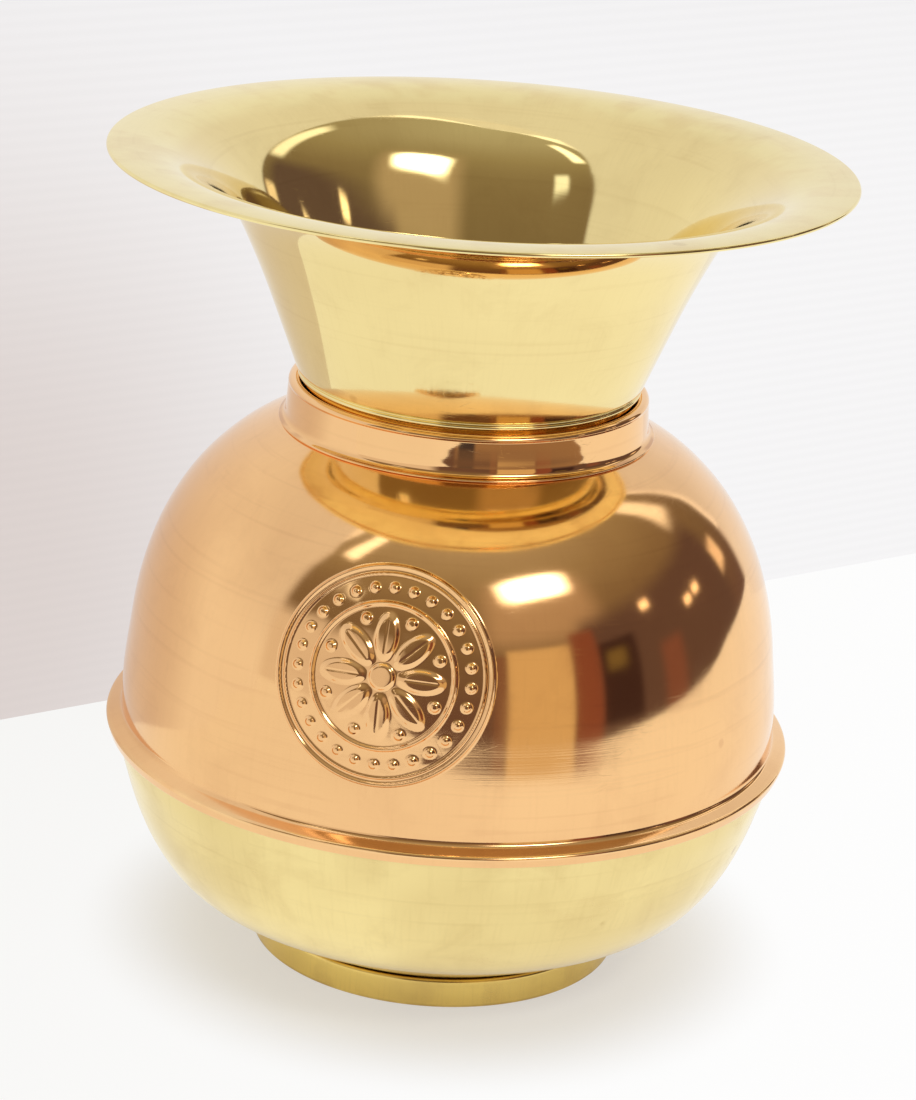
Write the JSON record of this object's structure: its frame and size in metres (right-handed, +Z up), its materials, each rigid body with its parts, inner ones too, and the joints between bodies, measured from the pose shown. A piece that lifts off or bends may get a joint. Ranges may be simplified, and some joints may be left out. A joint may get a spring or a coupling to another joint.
{
  "type": "brass spittoon",
  "caption": "Brass and copper spittoon: round bowl on a ring foot, domed copper body with a pressed medallion, and a wide funnel mouth that lifts out for emptying.",
  "frame": {"origin": "centre of the ring foot's underside, on the surface the spittoon stands on", "axes": "+Z up along the axis of the vessel, -Y towards the pressed medallion, +X to the right seen from the medallion's side"},
  "size_m": [0.2252, 0.2252, 0.254],
  "materials": {
    "brass": "polished, lightly worn",
    "copper": "polished copper",
    "solder": "dull soft solder"
  },
  "bodies": {
    "vessel": {"foot_ring": "brass", "foot_solder": "solder", "lower_bowl": "brass", "copper_pot": "copper", "neck_collar": "copper", "collar_solder": "solder"},
    "mouth": {"mouth_funnel": "brass"}
  },
  "joints": [
    {"name": "funnel_lift", "type": "slide", "parent": "vessel", "child": "mouth", "axis": [0, 0, 1], "range_m": [0, 0.06]}
  ]
}
